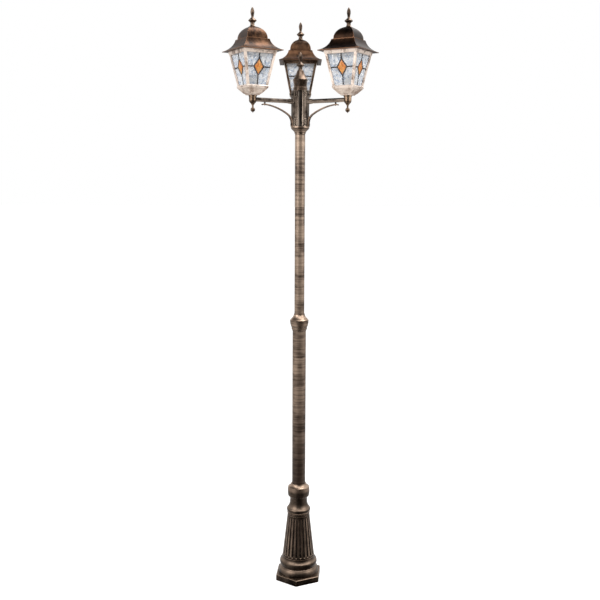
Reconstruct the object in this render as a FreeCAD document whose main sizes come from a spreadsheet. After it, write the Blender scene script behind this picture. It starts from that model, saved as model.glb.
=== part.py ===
"""Garden lamp post with three lantern heads: cast pedestal, two-stage pole, hub, arms and lanterns.

Millimetres, +Z up. The origin is the centre of the pole on the ground. The arms leave the pole
at 120 degrees to each other: one straight back (+Y), two towards the front on either side.
"""
import FreeCAD, Part
import math
import os

import Sketcher
from FreeCAD import Placement, Rotation, Vector

# ---------------------------------------------------------------- driving sizes

SIZES = {
    # pedestal: hexagonal plinth, bell foot, fluted shaft, neck and collar
    "plinth_corner_radius": 106.5,
    "plinth_height": 26,
    "plinth_turn": -5,
    "plinth_edge": 2,
    "bell_radius": 86,
    "bell_top": 58,
    "groove_depth": 3,
    "ring_radius": 80.5,
    "ring_height": 22,
    "shaft_foot_radius": 69.5,
    "shaft_foot_level": 103,
    "shaft_top_radius": 48.3,
    "shaft_top_level": 289,
    "torus_radius": 52.5,
    "torus_height": 18,
    "neck_radius": 37.5,
    "neck_level": 356,
    "crown_radius": 47.3,
    "crown_height": 40,
    "crown_level": 375,
    "pedestal_top": 430,
    "pedestal_wall": 6,
    "flute_count": 24,
    "flute_top_radius": 3.7,
    "flute_foot_radius": 5.4,
    "flute_margin": 11,
    "anchor_circle_radius": 93.5,
    "anchor_hole_radius": 4.5,
    # pole
    "tube_seat_level": 310,
    "lower_tube_radius": 28.5,
    "lower_tube_wall": 2.5,
    "lower_tube_length": 840,
    "upper_tube_radius": 21,
    "upper_tube_wall": 2.2,
    "upper_tube_length": 890,
    "coupler_depth": 95,
    "coupler_flange": 4,
    "joint_collar_radius": 39.2,
    "joint_collar_skirt": 46,
    "joint_collar_cap": 26,
    "slip_fit": 0.1,
    "seat_gap": 0.2,
    # hub
    "funnel_radius": 38,
    "funnel_height": 28,
    "column_inset": 1,
    "column_wall": 3,
    "column_spigot": 40,
    "arm_rise": 105,
    "saddle_width": 23,
    "saddle_reach": 38,
    "saddle_tail": 91.5,
    "saddle_rise": 44,
    "saddle_corner": 5,
    "flank_recess": 3,
    "column_crown": 32,
    "cap_radius": 30,
    "cap_height": 78,
    "cap_wall": 4,
    "cap_lift_clearance": 0.3,
    # arms
    "arm_reach": 216.5,
    "arm_radius": 8.5,
    "arm_root_radius": 10.5,
    "arm_bore_radius": 5.5,
    "brace_width": 13,
    "brace_thickness": 4,
    "brace_tip_inset": 53.5,
    "brace_heel_radius": 40,
    "brace_knob_height": 6,
    "screw_radius": 3,
    "screw_head_radius": 5,
    "cup_radius": 15.5,
    "cup_top": 16,
    "cup_depth": 19,
    "nipple_radius": 5,
    "nipple_wall": 1.3,
    "drop_ball_radius": 9,
    "drop_ball_level": 21,
    # lantern: half sides are measured square to a face, heights from the top of the cup
    "base_foot_half": 21,
    "base_height": 25,
    "base_wall": 3,
    "frame_foot_half": 43,
    "frame_top_half": 71.5,
    "frame_height": 148,
    "frame_wall": 5,
    "post_width": 9,
    "foot_rail_height": 11,
    "foot_rail_proud": 2,
    "head_rail_height": 18,
    "head_rail_proud": 1.5,
    "pane_thickness": 3,
    "pane_margin": 3,
    "lead_width": 4.5,
    "lead_thickness": 1.2,
    "diamond_width": 43,
    "diamond_height": 65,
    "diamond_level": 78,
    "holder_level": 22,
    "holder_height": 52,
    "holder_radius": 19,
    "lamp_cap_radius": 13.2,
    "lamp_cap_length": 25,
    "lamp_globe_radius": 22.5,
    "lamp_length": 77,
    "bridge_width": 12,
    "bridge_thickness": 2.5,
    "stud_radius": 2.5,
    "eave_overhang": 18.5,
    "eave_edge": 2.5,
    "eave_drop": 6,
    "roof_wall": 2.5,
    "shoulder_inset": 21,
    "shoulder_height": 43,
    "dome_inset": 27.5,
    "roof_height": 93,
    "roof_top_half": 14,
    "finial_height": 74,
    "finial_knob_radius": 16.3,
}

ARMS = {"left": 210, "right": 330, "rear": 90}


def formula(number):
    return number.formula if isinstance(number, Size) else f"{float(number):.10g}"


def value(number):
    return number.value if isinstance(number, Size) else float(number)


class Size:
    """A number that keeps its formula, so that what uses it stays driven by the sheet."""

    def __init__(self, number, text):
        self.value = number
        self.formula = text

    def __add__(self, other):
        return Size(self.value + value(other), f"({self.formula} + {formula(other)})")

    def __radd__(self, other):
        return self + other

    def __sub__(self, other):
        return Size(self.value - value(other), f"({self.formula} - {formula(other)})")

    def __rsub__(self, other):
        return Size(value(other) - self.value, f"({formula(other)} - {self.formula})")

    def __mul__(self, other):
        return Size(self.value * value(other), f"({self.formula} * {formula(other)})")

    def __rmul__(self, other):
        return self * other

    def __truediv__(self, other):
        return Size(self.value / value(other), f"({self.formula} / {formula(other)})")

    def __rtruediv__(self, other):
        return Size(value(other) / self.value, f"({formula(other)} / {self.formula})")

    def __neg__(self):
        return self * -1


def root(size):
    return Size(math.sqrt(value(size)), f"sqrt({formula(size)})")


def sine(degrees):
    return Size(math.sin(math.radians(value(degrees))), f"sin({formula(degrees)} * 1 deg)")


def cosine(degrees):
    return Size(math.cos(math.radians(value(degrees))), f"cos({formula(degrees)} * 1 deg)")


def slope_angle(rise, run):
    return Size(math.degrees(math.atan2(value(rise), value(run))),
                f"(atan({formula(rise)} / {formula(run)}) / 1 deg)")


class Sheet:
    """Hands out the sizes of the spreadsheet by name."""

    def __getattr__(self, alias):
        return Size(float(SIZES[alias]), "sizes." + alias)


doc = FreeCAD.newDocument("lamp_post")
sheet = doc.addObject("Spreadsheet::Sheet", "sizes")
for row, (alias, number) in enumerate(SIZES.items(), start=1):
    sheet.set(f"A{row}", alias)
    sheet.set(f"B{row}", str(number))
    sheet.setAlias(f"B{row}", alias)
doc.recompute()

s = Sheet()
pieces = []

# ---------------------------------------------------------------- drawing helpers


def bind(thing, prop, size):
    setattr(thing, prop, value(size))
    if isinstance(size, Size):
        thing.setExpression(prop, size.formula)


def place(piece, x=0, y=0, z=0, turn=0):
    piece.Placement = Placement(Vector(value(x), value(y), value(z)), Rotation(Vector(0, 0, 1), turn))
    for axis, size in (("x", x), ("y", y), ("z", z)):
        if isinstance(size, Size):
            piece.setExpression("Placement.Base." + axis, size.formula)


def node(piece, name):
    """Give a finished sub-part its name and list it for export."""
    piece.Label = name
    pieces.append(piece)
    return piece


def new_body(name, groups=False):
    body = doc.addObject("PartDesign::Body", name + "_body")
    body.AllowCompound = groups
    return node(body, name)


def origin_item(body, role):
    return next(item for item in body.Origin.OriginFeatures if item.Role == role)


def body_sketch(body, name, plane="XZ_Plane", lift=0):
    sketch = body.newObject("Sketcher::SketchObject", name)
    sketch.AttachmentSupport = (origin_item(body, plane), [""])
    sketch.MapMode = "FlatFace"
    sketch.AttachmentOffset = Placement(Vector(0, 0, value(lift)), Rotation())
    if isinstance(lift, Size):
        sketch.setExpression("AttachmentOffset.Base.z", lift.formula)
    return sketch


def upright_sketch(name):
    """A sketch in the XZ plane, for what isn't built in a body."""
    sketch = doc.addObject("Sketcher::SketchObject", name)
    sketch.Placement = Placement(Vector(0, 0, 0), Rotation(Vector(1, 0, 0), 90))
    return sketch


class Turn:
    """Stands between two corners: the side there is an arc that turns by so many degrees, left positive.

    An arc of a ball has its centre held on the upright axis, in place of a radius.
    """

    def __init__(self, degrees, ball=False):
        self.degrees = degrees
        self.ball = ball


STRAIGHT = Turn(0)


def pin_rules(index, end, x, y):
    """The rules that hold one corner at its x and y from the sketch's origin."""
    rules = []
    for kind, distance, axis in (("DistanceX", x, -2), ("DistanceY", y, -1)):
        if isinstance(distance, Size) or distance:
            rules.append((Sketcher.Constraint(kind, -1, 1, index, end, value(distance)), distance))
        else:
            rules.append((Sketcher.Constraint("PointOnObject", index, end, axis), None))
    return rules


def apply_rules(sketch, rules):
    first = sketch.ConstraintCount
    sketch.addConstraint([rule for rule, _ in rules])
    for offset, (_, size) in enumerate(rules):
        if isinstance(size, Size):
            sketch.setExpression(f"Constraints[{first + offset}]", size.formula)


def arc_side(a, b, degrees):
    """The arc from a to b that turns by the given angle, its radius, and its end numbers in order."""
    chord = b - a
    half = math.radians(abs(degrees)) / 2
    radius = chord.Length / (2 * math.sin(half))
    left = Vector(-chord.y, chord.x, 0).normalize() * (1 if degrees > 0 else -1)
    centre = (a + b) * 0.5 + left * (radius * math.cos(half))
    first, last = (a, b) if degrees > 0 else (b, a)
    start = math.atan2(first.y - centre.y, first.x - centre.x)
    stop = math.atan2(last.y - centre.y, last.x - centre.x)
    while stop < start:
        stop += 2 * math.pi
    arc = Part.ArcOfCircle(Part.Circle(centre, Vector(0, 0, 1), radius), start, stop)
    return arc, radius, (1, 2) if degrees > 0 else (2, 1)


def draw(sketch, outline):
    """Close an outline through its corners, each held by its own x and y."""
    corners = []
    turns = []
    for item in outline:
        if isinstance(item, Turn):
            turns[-1] = item
        else:
            corners.append(item)
            turns.append(STRAIGHT)
    sides = []
    rules = []
    for i, (x, y) in enumerate(corners):
        next_x, next_y = corners[(i + 1) % len(corners)]
        a = Vector(value(x), value(y), 0)
        b = Vector(value(next_x), value(next_y), 0)
        degrees = turns[i].degrees
        if degrees:
            arc, radius, ends = arc_side(a, b, degrees)
            index = sketch.addGeometry(arc, False)
            if turns[i].ball:
                rules.append((Sketcher.Constraint("PointOnObject", index, 3, -2), None))
            elif abs(degrees) == 180:
                rules.append((Sketcher.Constraint("DistanceY", -1, 1, index, 3, value(y)), y))
            else:
                across = next_x - x
                along = next_y - y
                chord = root(across * across + along * along)
                size = chord / (2 * math.sin(math.radians(abs(degrees)) / 2))
                rules.append((Sketcher.Constraint("Radius", index, radius), size))
        else:
            index = sketch.addGeometry(Part.LineSegment(a, b), False)
            ends = (1, 2)
        sides.append((index, *ends))
        rules.extend(pin_rules(index, ends[0], x, y))
    for side, following in zip(sides, sides[1:] + sides[:1]):
        rules.append((Sketcher.Constraint("Coincident", side[0], side[2], following[0], following[1]), None))
    apply_rules(sketch, rules)
    return sketch


def draw_axis(sketch, start, stop):
    """A construction line for a revolution's axis."""
    line = Part.LineSegment(Vector(*map(value, start), 0), Vector(*map(value, stop), 0))
    index = sketch.addGeometry(line, True)
    apply_rules(sketch, pin_rules(index, 1, *start) + pin_rules(index, 2, *stop))


def draw_circle(sketch, x, y, radius):
    centre = Vector(value(x), value(y), 0)
    index = sketch.addGeometry(Part.Circle(centre, Vector(0, 0, 1), value(radius)), False)
    rules = pin_rules(index, 3, x, y)
    rules.append((Sketcher.Constraint("Radius", index, value(radius)), radius))
    apply_rules(sketch, rules)
    return sketch


def box_outline(left, right, low, high):
    return [(left, low), (right, low), (right, high), (left, high)]


def polygon_outline(count, radius, turn):
    """A regular outline round the origin, its first corner at the given angle."""
    angles = [turn + 360 * corner / count for corner in range(int(value(count)))]
    return [(radius * cosine(angle), radius * sine(angle)) for angle in angles]


def oval_outline(x, low, high, radius):
    return [(x + radius, low), (x + radius, high), Turn(180), (x - radius, high), (x - radius, low), Turn(180)]


def mirrored(half):
    """A whole outline from its right half, which runs up from the foot to the top."""
    left = [item if isinstance(item, Turn) else (-item[0], item[1]) for item in reversed(half)]
    return half + left


def revolve(body, name, outline, cut=False, axis="V_Axis"):
    sketch = draw(body_sketch(body, name + "_profile"), outline)
    feature = body.newObject("PartDesign::Groove" if cut else "PartDesign::Revolution", name)
    feature.Profile = sketch
    feature.ReferenceAxis = (sketch, [axis])
    feature.Angle = 360
    return feature


def pad(body, name, sketch, length, symmetric=False, reverse=False):
    feature = body.newObject("PartDesign::Pad", name)
    feature.Profile = sketch
    bind(feature, "Length", length)
    feature.SideType = "Symmetric" if symmetric else "One side"
    feature.Reversed = reverse
    return feature


def pocket(body, name, sketch, length=None, symmetric=False, reverse=False):
    """Cut a sketch out of the body: to a depth, or right through where no depth is given."""
    feature = body.newObject("PartDesign::Pocket", name)
    feature.Profile = sketch
    if length is None:
        feature.Type = "ThroughAll"
    else:
        bind(feature, "Length", length)
    feature.SideType = "Symmetric" if symmetric else "One side"
    feature.Reversed = reverse
    return feature


def ring_of(body, name, features, count):
    """Repeat features round the body's own upright axis."""
    pattern = body.newObject("PartDesign::PolarPattern", name)
    pattern.Originals = features
    pattern.Axis = (origin_item(body, "Z_Axis"), [""])
    pattern.Angle = 360
    pattern.Occurrences = int(value(count))
    if isinstance(count, Size):
        pattern.setExpression("Occurrences", count.formula)
    body.Tip = pattern
    return pattern


def extrusion(name, sketch, length, turn=0):
    solid = doc.addObject("Part::Extrusion", name)
    solid.Base = sketch
    solid.DirMode = "Normal"
    solid.Solid = True
    solid.Symmetric = True
    bind(solid, "LengthFwd", length)
    solid.Placement = Placement(Vector(0, 0, 0), Rotation(Vector(0, 0, 1), turn))
    return solid


def square_tower(name, half_outline, width):
    """A solid whose level sections are all squares: what two crossed extrusions of one outline share."""
    sketch = draw(upright_sketch(name + "_profile"), mirrored(half_outline))
    tower = doc.addObject("Part::Common", name)
    tower.Base = extrusion(name + "_along", sketch, width)
    tower.Tool = extrusion(name + "_across", sketch, width, turn=90)
    return tower


def fuse(name, *solids):
    joined = doc.addObject("Part::MultiFuse", name)
    joined.Shapes = list(solids)
    return joined


def cut(name, base, tool):
    rest = doc.addObject("Part::Cut", name)
    rest.Base = base
    rest.Tool = tool
    return rest


def block(name, length, width, height, x, y, z):
    """A box bound to the sheet, centred on y."""
    box = doc.addObject("Part::Box", name)
    bind(box, "Length", length)
    bind(box, "Width", width)
    bind(box, "Height", height)
    place(box, x, y - width / 2, z)
    return box


def rod(name, radius, low, high):
    """An upright cylinder on the axis between two levels."""
    cylinder = doc.addObject("Part::Cylinder", name)
    bind(cylinder, "Radius", radius)
    bind(cylinder, "Height", high - low)
    place(cylinder, z=low)
    return cylinder


# ---------------------------------------------------------------- levels that pieces share

stud_grip = 20
rivet_radius = 2
knob_radius = 3.4
lug_height = 6
lug_length = 7
lead_end_gap = 0.5
cap_screw_turn = -114
cap_screw_level = 26
arm_screw_level = 28
lower_tube_top = s.tube_seat_level + s.lower_tube_length
upper_tube_foot = lower_tube_top - s.coupler_depth
upper_tube_top = upper_tube_foot + s.upper_tube_length
arm_level = upper_tube_top + s.arm_rise
lantern_level = arm_level + s.cup_top
frame_foot = s.base_height
frame_top = frame_foot + s.frame_height
eave_level = frame_top - s.eave_drop
frame_lean = (s.frame_top_half - s.frame_foot_half) / s.frame_height
frame_slant = root(1 + frame_lean * frame_lean)
glass_plane = s.frame_wall / frame_slant + s.seat_gap
bridge_level = frame_top - 9
column_radius = s.upper_tube_radius - s.column_inset
saddle_foot = -(s.arm_radius + s.saddle_tail)
saddle_height = s.saddle_rise - saddle_foot
brace_reach = s.arm_reach - s.brace_tip_inset
brace_screw_level = saddle_foot + 9
arm_end = s.arm_reach - s.nipple_radius - 1


def frame_half(level):
    """Half the frame's outer side at a level above the top of the cup."""
    return s.frame_foot_half + frame_lean * (level - frame_foot)


# ---------------------------------------------------------------- pedestal and pole


def build_pedestal():
    body = new_body("pedestal")
    hexagon = polygon_outline(6, s.plinth_corner_radius, s.plinth_turn - 90)
    plinth = pad(body, "plinth", draw(body_sketch(body, "plinth_outline", "XY_Plane"), hexagon), s.plinth_height)
    doc.recompute()
    rim = []
    for number, edge in enumerate(plinth.Shape.Edges, start=1):
        if min(vertex.Z for vertex in edge.Vertexes) > value(s.plinth_height) / 2:
            rim.append(f"Edge{number}")
    edge_break = body.newObject("PartDesign::Chamfer", "plinth_edge_break")
    edge_break.Base = (plinth, rim)
    bind(edge_break, "Size", s.plinth_edge)

    groove_radius = s.ring_radius - s.groove_depth - 1
    ring_foot = s.bell_top + 4
    torus_foot = s.shaft_top_level + 15
    torus_top = torus_foot + s.torus_height
    crown_top = s.crown_level + s.crown_height
    revolve(body, "turned_form", [
        (0, s.plinth_height / 2),
        (s.bell_radius, s.plinth_height / 2),
        (s.bell_radius, s.plinth_height),
        Turn(48),
        (s.ring_radius - 1.5, s.bell_top - 4),
        Turn(40),
        (groove_radius, s.bell_top),
        (groove_radius, ring_foot),
        Turn(65),
        (s.ring_radius - 1.5, ring_foot + s.ring_height),
        Turn(-50),
        (s.shaft_foot_radius + 0.8, s.shaft_foot_level),
        (s.shaft_foot_radius - 4, s.shaft_foot_level),
        (s.shaft_top_radius - 4, s.shaft_top_level),
        (s.shaft_top_radius - 1.5, s.shaft_top_level),
        (s.shaft_top_radius - 1.5, s.shaft_top_level + 6),
        (s.shaft_top_radius + 1, s.shaft_top_level + 8),
        (s.shaft_top_radius + 1, torus_foot - 2),
        (s.shaft_top_radius - 1.5, torus_foot),
        Turn(110),
        (s.shaft_top_radius - 1.5, torus_top),
        Turn(-40),
        (s.neck_radius, s.neck_level),
        Turn(-50),
        (s.neck_radius + 3, s.crown_level - 3),
        (s.crown_radius - 1.8, s.crown_level),
        Turn(22),
        (s.crown_radius - 1.8, crown_top),
        Turn(-60),
        (s.lower_tube_radius + 3.5, s.pedestal_top),
        (0, s.pedestal_top),
    ])

    rise = s.shaft_top_level - s.shaft_foot_level
    half_step = 180 / s.flute_count
    lands = polygon_outline(s.flute_count, s.shaft_foot_radius, half_step)
    lands_sketch = body_sketch(body, "shaft_outline", "XY_Plane", lift=s.shaft_foot_level)
    shaft = pad(body, "shaft", draw(lands_sketch, lands), rise)
    foot_plane = body.newObject("PartDesign::Plane", "shaft_foot_plane")
    foot_plane.AttachmentSupport = (origin_item(body, "XY_Plane"), [""])
    foot_plane.MapMode = "FlatFace"
    foot_plane.AttachmentOffset = Placement(Vector(0, 0, value(s.shaft_foot_level)), Rotation())
    foot_plane.setExpression("AttachmentOffset.Base.z", formula(s.shaft_foot_level))
    doc.recompute()
    upright = []
    for number, face in enumerate(shaft.Shape.Faces, start=1):
        level = face.CenterOfMass.z
        flat = isinstance(face.Surface, Part.Plane) and abs(face.Surface.Axis.z) < 0.01
        if flat and value(s.shaft_foot_level) < level < value(s.shaft_top_level):
            upright.append(f"Face{number}")
    taper = body.newObject("PartDesign::Draft", "shaft_taper")
    taper.Base = (shaft, upright)
    taper.NeutralPlane = (foot_plane, [""])
    bind(taper, "Angle", slope_angle((s.shaft_foot_radius - s.shaft_top_radius) * cosine(half_step), rise))

    cavity_foot = s.bell_radius - s.pedestal_wall - 2
    seat_web = 8
    revolve(body, "cavity", [
        (0, -1),
        (cavity_foot, -1),
        (cavity_foot, s.plinth_height - s.pedestal_wall),
        (s.shaft_foot_radius - s.pedestal_wall, s.shaft_foot_level - 10),
        (s.shaft_top_radius - s.pedestal_wall, s.shaft_top_level - 6),
        (s.lower_tube_radius - s.pedestal_wall, s.tube_seat_level - seat_web),
        (s.lower_tube_radius - s.pedestal_wall, s.tube_seat_level),
        (s.lower_tube_radius + s.slip_fit, s.tube_seat_level),
        (s.lower_tube_radius + s.slip_fit, s.pedestal_top + 1),
        (0, s.pedestal_top + 1),
    ], cut=True)

    outline, axis_foot, axis_top = flute_outline()
    flute_sketch = draw(body_sketch(body, "flute_profile"), outline)
    flute_sketch.AttachmentOffset = Placement(Vector(0, 0, 0), Rotation(Vector(0, 1, 0), value(half_step)))
    flute_sketch.setExpression("AttachmentOffset.Rotation.Angle", half_step.formula)
    draw_axis(flute_sketch, axis_foot, axis_top)
    flute = body.newObject("PartDesign::Groove", "flute")
    flute.Profile = flute_sketch
    flute.ReferenceAxis = (flute_sketch, ["Axis0"])
    flute.Angle = 360
    ring_of(body, "flutes", [flute], s.flute_count)

    hole_angle = s.plinth_turn - 90
    hole_sketch = draw_circle(body_sketch(body, "anchor_hole_outline", "XY_Plane"),
                              s.anchor_circle_radius * cosine(hole_angle),
                              s.anchor_circle_radius * sine(hole_angle), s.anchor_hole_radius)
    hole = pocket(body, "anchor_hole", hole_sketch, s.plinth_height + 1, reverse=True)
    ring_of(body, "anchor_holes", [hole], 3)


def flute_outline():
    """Half of a tapered round-ended cutter, and the two ends of its axis just outside the shaft's slope."""
    rise = s.shaft_top_level - s.shaft_foot_level
    taper = s.shaft_foot_radius - s.shaft_top_radius
    slope = root(rise * rise + taper * taper)
    up_x = -taper / slope
    up_z = rise / slope
    out_x = rise / slope
    out_z = taper / slope

    def on_axis(distance, radius):
        """A point of the cutter's axis, so far up the slope, raised by half the cutter's radius."""
        return (s.shaft_foot_radius + up_x * distance + out_x * (radius * 0.55),
                s.shaft_foot_level + up_z * distance + out_z * (radius * 0.55))

    def beside(point, up, out):
        return (point[0] + up_x * up + out_x * out, point[1] + up_z * up + out_z * out)

    foot = on_axis(s.flute_margin, s.flute_foot_radius)
    top = on_axis(slope - s.flute_margin, s.flute_top_radius)
    core = 0.25
    end = math.sqrt(1 - core * core)
    swing = math.degrees(math.asin(end))
    outline = [
        beside(foot, -s.flute_foot_radius * end, s.flute_foot_radius * core),
        Turn(swing),
        beside(foot, 0, s.flute_foot_radius),
        beside(top, 0, s.flute_top_radius),
        Turn(swing),
        beside(top, s.flute_top_radius * end, s.flute_top_radius * core),
    ]
    return outline, foot, top


def build_tube(name, radius, wall, foot, length):
    body = new_body(name)
    sketch = body_sketch(body, name + "_section", "XY_Plane")
    draw_circle(sketch, 0, 0, radius)
    draw_circle(sketch, 0, 0, radius - wall)
    pad(body, name + "_run", sketch, length)
    place(body, z=foot)


def build_tube_coupler():
    """Sleeve in the top of the lower tube that carries the foot of the upper tube."""
    body = new_body("tube_coupler")
    inside = s.upper_tube_radius + s.slip_fit
    outside = s.lower_tube_radius - s.lower_tube_wall - s.slip_fit
    ledge = s.upper_tube_radius - s.upper_tube_wall - 3
    revolve(body, "sleeve", [
        (ledge, -5),
        (outside, -5),
        (outside, s.coupler_depth),
        (s.lower_tube_radius, s.coupler_depth),
        (s.lower_tube_radius, s.coupler_depth + s.coupler_flange),
        (inside, s.coupler_depth + s.coupler_flange),
        (inside, 0),
        (ledge, 0),
    ])
    place(body, z=upper_tube_foot)


def build_joint_collar():
    """Stepped collar that covers the step from the lower to the upper tube."""
    body = new_body("joint_collar")
    seat = s.coupler_flange + s.slip_fit
    widest = s.joint_collar_radius
    foot = -s.joint_collar_skirt
    top = s.joint_collar_cap
    lower_bore = s.lower_tube_radius + s.slip_fit
    upper_bore = s.upper_tube_radius + s.slip_fit
    revolve(body, "collar", [
        (lower_bore, foot),
        (lower_bore + 1.6, foot),
        (lower_bore + 1.6, foot + 3),
        (widest - 6.4, foot + 7),
        (widest - 6.4, foot + 15),
        (widest - 4.8, foot + 17),
        Turn(24),
        (widest, -3),
        (widest, 0),
        (widest - 6.5, top - 19),
        Turn(-34),
        (upper_bore + 2, top - 3),
        (upper_bore + 2, top),
        (upper_bore, top),
        (upper_bore, seat),
        (lower_bore, seat),
    ])
    place(body, z=lower_tube_top)


# ---------------------------------------------------------------- hub


def build_hub_collar():
    """Funnel-shaped collar round the top of the pole that the saddles stand on."""
    body = new_body("hub_collar")
    bore = s.upper_tube_radius + s.slip_fit
    revolve(body, "funnel", [
        (bore, 0),
        (bore + 2, 0),
        (bore + 2, 4),
        Turn(-40),
        (s.funnel_radius - 5, s.funnel_height - 12),
        (s.funnel_radius, s.funnel_height - 5),
        (s.funnel_radius, s.funnel_height),
        (bore, s.funnel_height),
    ])
    place(body, z=arm_level + saddle_foot - s.funnel_height)


def build_hub_column():
    """Hollow core of the hub: its spigot stands in the pole, its crown centres the cap."""
    body = new_body("hub_column")
    spigot = s.upper_tube_radius - s.upper_tube_wall - s.slip_fit
    crown = s.arm_rise + s.saddle_rise + s.column_crown
    revolve(body, "column", [
        (spigot - s.column_wall, -s.column_spigot),
        (spigot, -s.column_spigot),
        (spigot, 0),
        (column_radius, 0),
        (column_radius, crown),
        (spigot - s.column_wall, crown),
    ])
    wire_hole = draw_circle(body_sketch(body, "wire_hole_outline", "YZ_Plane"), 0, s.arm_rise, s.arm_bore_radius)
    hole = pocket(body, "wire_hole", wire_hole, reverse=True)
    ring_of(body, "wire_holes", [hole], 3)
    place(body, z=upper_tube_top, turn=ARMS["rear"])


def build_hub_cap():
    """Domed cover that stands on the saddles and lifts off for wiring; heights from the saddles' tops."""
    body = new_body("hub_cap")
    outer = s.cap_radius
    bore = column_radius + s.cap_lift_clearance
    inside = outer - s.cap_wall - 2
    crown = s.column_crown + 4
    revolve(body, "cap", [
        (bore, 0),
        (outer - 1, 0),
        (outer - 1, 12),
        (outer - 3.5, 14),
        (outer - 3.5, 18),
        (outer - 1, 38),
        (outer + 0.5, 42),
        (outer + 0.5, 44),
        (outer - 2.5, 48),
        Turn(-24),
        (s.roof_top_half, s.cap_height),
        (s.stud_radius, s.cap_height),
        (s.stud_radius, s.cap_height + stud_grip),
        (0, s.cap_height + stud_grip),
        (0, crown + 14),
        (inside - 12, crown + 14),
        (inside, crown),
        (bore, crown),
    ])
    screw_seat = body_sketch(body, "set_screw_hole_outline", "YZ_Plane")
    draw_circle(screw_seat, 0, cap_screw_level, 2.1)
    pocket(body, "set_screw_hole", screw_seat, reverse=True)
    place(body, z=arm_level + s.saddle_rise, turn=cap_screw_turn)


def build_cap_screw():
    """Set screw that holds the cap to the crown of the column."""
    body = new_body("cap_screw")
    shank_end = column_radius + s.cap_lift_clearance
    head = s.cap_radius - 1
    revolve(body, "set_screw", [
        (shank_end, 0),
        (shank_end, 2),
        (head, 2),
        (head, 3.4),
        (head + 1.6, 2.4),
        (head + 2.2, 0),
    ], axis="H_Axis")
    place(body, z=arm_level + s.saddle_rise + cap_screw_level, turn=cap_screw_turn)


def build_terminal_block():
    """Round junction block in the crown of the column, where the three lantern leads meet the mains."""
    body = new_body("terminal_block")
    radius = s.upper_tube_radius - s.upper_tube_wall - s.slip_fit - s.column_wall - s.seat_gap
    sketch = draw_circle(body_sketch(body, "block_outline", "XY_Plane"), 0, 0, radius)
    pad(body, "block", sketch, 18)
    way = draw_circle(body_sketch(body, "way_outline", "XY_Plane"), radius * 0.6, 0, 2.2)
    ways = pocket(body, "way", way, reverse=True)
    ring_of(body, "ways", [ways], 3)
    place(body, z=arm_level + s.saddle_rise + 6)


def finial_profile(seat_hole_depth):
    """Outline of the cast finial: cove foot, double-cone knob, slender spire; blind hole for its stud."""
    knob = s.finial_knob_radius
    hole = s.stud_radius + s.slip_fit
    return [
        (hole, 0),
        (s.roof_top_half, 0),
        Turn(-55),
        (8, 9),
        (8, 15),
        (knob, 22.5),
        (knob, 24.5),
        (6, 34),
        (4.6, 37),
        (7.4, 52),
        Turn(42),
        (1.2, s.finial_height),
        (0, s.finial_height),
        (0, seat_hole_depth),
        (hole, seat_hole_depth),
    ]


def build_finial(name, x, y, z):
    body = new_body(name)
    revolve(body, name + "_turning", finial_profile(stud_grip + 2))
    place(body, x, y, z)


def build_fastener_rings():
    """Three arm screws and three brace screws, radial through the saddles into the column."""
    for name, level, head_seat in (
        ("arm_screws", arm_screw_level, s.saddle_reach),
        ("brace_screws", brace_screw_level, s.saddle_reach + s.brace_thickness),
    ):
        body = new_body(name, groups=True)
        shank_end = column_radius + s.seat_gap
        screw = revolve(body, name + "_turning", [
            (head_seat + 3.4, 0),
            (head_seat + 3.4, s.screw_head_radius * 0.35),
            (head_seat + 2, s.screw_head_radius * 0.8),
            (head_seat, s.screw_head_radius),
            (head_seat, s.screw_radius),
            (shank_end, s.screw_radius),
            (shank_end, 0),
        ], axis="H_Axis")
        ring_of(body, name + "_ring", [screw], 3)
        place(body, z=arm_level + level, turn=ARMS["rear"])


# ---------------------------------------------------------------- arms


def turned_about(centre, radius, heading):
    """The point where a path that turns right about a centre has the given heading."""
    x, z = centre
    return (x - radius * sine(heading), z + radius * cosine(heading))


def brace_path():
    """Centres, radii and levels of the brace strap: up the saddle, out in two sweeps, then a small scroll."""
    heel = s.brace_heel_radius
    leave, arrive, scroll = 32, 4, -50
    start_x = s.saddle_reach + s.brace_thickness / 2
    heel_out = heel * (1 - math.sin(math.radians(leave)))
    heel_up = heel * math.cos(math.radians(leave))
    sweep_run = brace_reach + knob_radius + 1 - start_x - heel_out
    sweep = sweep_run / (math.sin(math.radians(leave)) - math.sin(math.radians(arrive)))
    sweep_up = sweep * (math.cos(math.radians(arrive)) - math.cos(math.radians(leave)))
    end_level = -(s.arm_radius + s.brace_knob_height + s.brace_thickness / 2)
    heel_level = end_level - sweep_up - heel_up
    heel_centre = (start_x + heel, heel_level)
    heel_end = turned_about(heel_centre, heel, leave)
    sweep_centre = (heel_end[0] + sweep * sine(leave), heel_end[1] - sweep * cosine(leave))
    sweep_end = turned_about(sweep_centre, sweep, arrive)
    scroll_radius = 8
    scroll_centre = (sweep_end[0] + scroll_radius * sine(arrive), sweep_end[1] - scroll_radius * cosine(arrive))
    return heel_level, (
        (heel_centre, heel, leave, 90 - leave),
        (sweep_centre, sweep, arrive, leave - arrive),
        (scroll_centre, scroll_radius, scroll, arrive - scroll),
    )


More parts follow.
